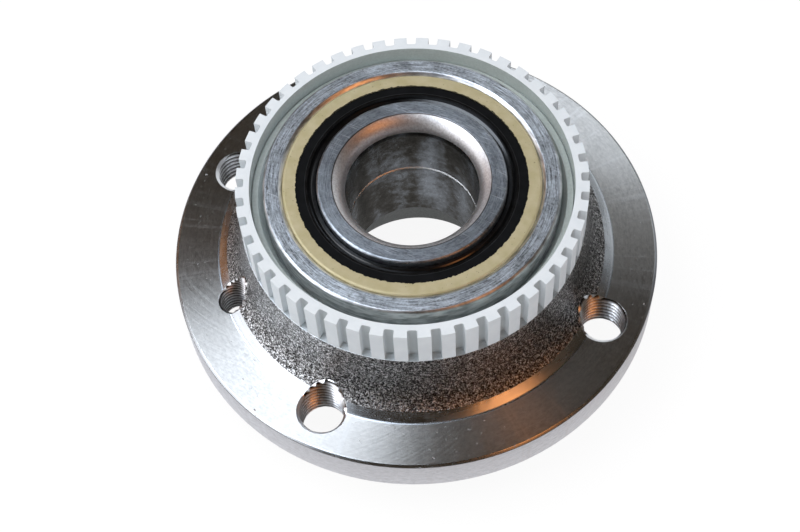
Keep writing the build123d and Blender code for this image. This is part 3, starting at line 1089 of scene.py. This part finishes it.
def flash_section(facing, angle):
    """Section of the rubber flash at an angle, as far over the case's edge as it creeps there."""
    around = Vector((math.cos(angle), math.sin(angle), facing))
    least, usual, most = FLASH_SHARES
    coarse, fine = FLASH_WAVES
    creep = usual + noise.noise(around * coarse) + noise.noise(around * fine)
    outer = CASE_BORE_RADIUS + FLASH_WIDTH * min(max(creep, least), most)
    inner = CASE_BORE_RADIUS - FLASH_OVERHANG
    section = (
        (inner, -FLASH_ROOT),
        (inner, FLASH_HEIGHT),
        (outer - FLASH_SLOPE, FLASH_HEIGHT),
        (outer, -FLASH_TOE),
    )
    return [(radius, along(facing, CASE_FACE + height)) for radius, height in section]


def make_flash(end, facing, rubber):
    """Thin rubber flash that creeps unevenly over the seal case's inner edge."""
    sections = [flash_section(facing, angle) for angle in round_angles(FLASH_STEPS)]
    flash = piece_from(f"seal_flash_{end}", *sweep_round(sections))
    tidy(flash.data)
    finish_piece(flash, "hub", [rubber])


def make_bearing():
    """The rings, and the finishes of the seals, cages and balls."""
    make_outer_ring(ground_steel("outer_ring_steel", (0.60, 0.625, 0.655), 0.46, 0.72))
    face = ground_steel("inner_ring_steel", (0.40, 0.425, 0.46), 0.40, 0.45)
    inner_finishes = [face, polished_lead_in(), honed_steel()]
    rubber = greased_rubber()
    for end, facing in (("inboard", 1), ("outboard", -1)):
        make_inner_ring(end, facing, inner_finishes)
        make_flash(end, facing, rubber)
    finishes = {
        "ball": ball_steel(),
        "cage": cage_nylon(),
        "seal_case": passivated_sheet(),
        "seal_lip": rubber,
    }
    for name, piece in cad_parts.items():
        for start, finish in finishes.items():
            if name.startswith(start):
                piece.data.materials.clear()
                piece.data.materials.append(finish)


# Studio

def make_camera():
    """The camera at the photograph's place."""
    data = bpy.data.cameras.new("camera")
    data.sensor_width = SENSOR_WIDTH
    data.lens = LENS
    camera = bpy.data.objects.new("camera", data)
    bpy.context.scene.collection.objects.link(camera)
    azimuth, elevation = math.radians(CAMERA_AZIMUTH), math.radians(CAMERA_ELEVATION)
    level = Vector((math.cos(azimuth), math.sin(azimuth), 0))
    outwards = math.cos(elevation)
    back = Vector((math.sin(azimuth) * outwards, -math.cos(azimuth) * outwards, math.sin(elevation)))
    right = Matrix.Rotation(math.radians(-CAMERA_ROLL), 3, back) @ level
    up = back.cross(right)
    rotation = Matrix((right, up, back)).transposed().to_4x4()
    camera.matrix_world = Matrix.Translation(CAMERA_PLACE * MM) @ rotation
    bpy.context.scene.camera = camera


def toward(azimuth, elevation):
    """The direction at an azimuth and elevation, in degrees."""
    a, e = math.radians(azimuth), math.radians(elevation)
    return Vector((math.cos(a) * math.cos(e), math.sin(a) * math.cos(e), math.sin(e)))


def make_lamp(name, azimuth, elevation, size, power, colour):
    """A soft square lamp that shines at the object; reflections show the room instead."""
    data = bpy.data.lights.new(name, "AREA")
    data.shape = "SQUARE"
    data.size = size * MM
    data.energy = power
    data.color = colour
    lamp = bpy.data.objects.new(name, data)
    bpy.context.scene.collection.objects.link(lamp)
    away = toward(azimuth, elevation)
    lamp.location = away * LAMP_DISTANCE * MM
    lamp.rotation_mode = "QUATERNION"
    lamp.rotation_quaternion = away.to_track_quat("Z", "Y")
    lamp.visible_glossy = False


def glow(tree, direction, azimuth, elevation, width, softness, colour):
    """A round patch of light in the room with a soft edge; the angles are in degrees."""
    spot = node(tree, "ShaderNodeVectorMath", operation="DOT_PRODUCT")
    tree.links.new(direction, spot.inputs[0])
    spot.inputs[1].default_value = toward(azimuth, elevation)
    level = node(tree, "ShaderNodeMapRange", interpolation_type="SMOOTHSTEP")
    tree.links.new(spot.outputs["Value"], level.inputs["Value"])
    level.inputs["From Min"].default_value = math.cos(math.radians(width + softness))
    level.inputs["From Max"].default_value = math.cos(math.radians(max(width - softness, 0)))
    return blend_colours(tree, level.outputs["Result"], (0, 0, 0), colour)


def make_world():
    """White for the camera, plain light for the surfaces, and a room with windows in reflections."""
    world = bpy.data.worlds.new("studio")
    bpy.context.scene.world = world
    world.use_nodes = True
    tree = world.node_tree
    direction = tree.nodes.new("ShaderNodeTexCoord").outputs["Generated"]
    parts = tree.nodes.new("ShaderNodeSeparateXYZ")
    tree.links.new(direction, parts.inputs[0])
    room = ramp(tree, parts.outputs["Z"], *ROOM_LEVELS)
    for light in ROOM_LIGHTS:
        room = blend_colours(tree, 1.0, room, glow(tree, direction, *light), mode="LIGHTEN")
    sky = ramp(tree, parts.outputs["Z"], *SKY_LEVELS)
    path = tree.nodes.new("ShaderNodeLightPath")
    seen = blend_colours(tree, path.outputs["Is Glossy Ray"], sky, room)
    seen = blend_colours(tree, path.outputs["Is Camera Ray"], seen, (1, 1, 1))
    tree.links.new(seen, tree.nodes["Background"].inputs["Color"])


def floor_material():
    """White for the camera, painted shadow under the object and a painted pool of light round it in
    reflections, and clear from below.
    """
    material = bpy.data.materials.new("floor")
    material.use_nodes = True
    tree = material.node_tree
    tree.nodes.clear()
    lit = node(tree, "ShaderNodeBsdfDiffuse", Color=FLOOR_COLOUR)
    radius, _, _ = round_axis(tree, place_in_mm(tree))
    # Painted shadow under the object and a painted pool of light round it, which only reflections see.
    patch = ramp(tree, math_node(tree, "DIVIDE", radius, FLOOR_REACH), *FLOOR_LEVELS)
    path = tree.nodes.new("ShaderNodeLightPath")
    shine = node(tree, "ShaderNodeEmission", Strength=1.0)
    white = blend_colours(tree, path.outputs["Is Camera Ray"], patch, FLOOR_WHITE)
    tree.links.new(white, shine.inputs["Color"])
    shown = math_node(tree, "MULTIPLY", path.outputs["Is Camera Ray"], FLOOR_WHITE_SHARE)
    share = math_node(tree, "MAXIMUM", shown, path.outputs["Is Glossy Ray"])
    above = blend_shaders(tree, share, lit.outputs[0], shine.outputs[0])
    clear = node(tree, "ShaderNodeBsdfTransparent")
    underneath = tree.nodes.new("ShaderNodeNewGeometry").outputs["Backfacing"]
    output = tree.nodes.new("ShaderNodeOutputMaterial")
    seen = blend_shaders(tree, underneath, above, clear.outputs[0])
    tree.links.new(seen, output.inputs["Surface"])
    return material


def make_floor():
    """A plain white floor under the object, which keeps its shadow."""
    half = FLOOR_HALF_WIDTH
    low = cad_low.z / MM
    corners = [(-half, -half, low), (half, -half, low), (half, half, low), (-half, half, low)]
    floor = piece_from("floor", corners, [(0, 1, 2, 3)])
    floor.data.materials.append(floor_material())


make_camera()
make_world()
make_floor()
for lamp in LAMPS:
    make_lamp(*lamp)
make_hub()
make_toothed_ring()
make_bearing()
bpy.context.scene.view_settings.view_transform = "Standard"
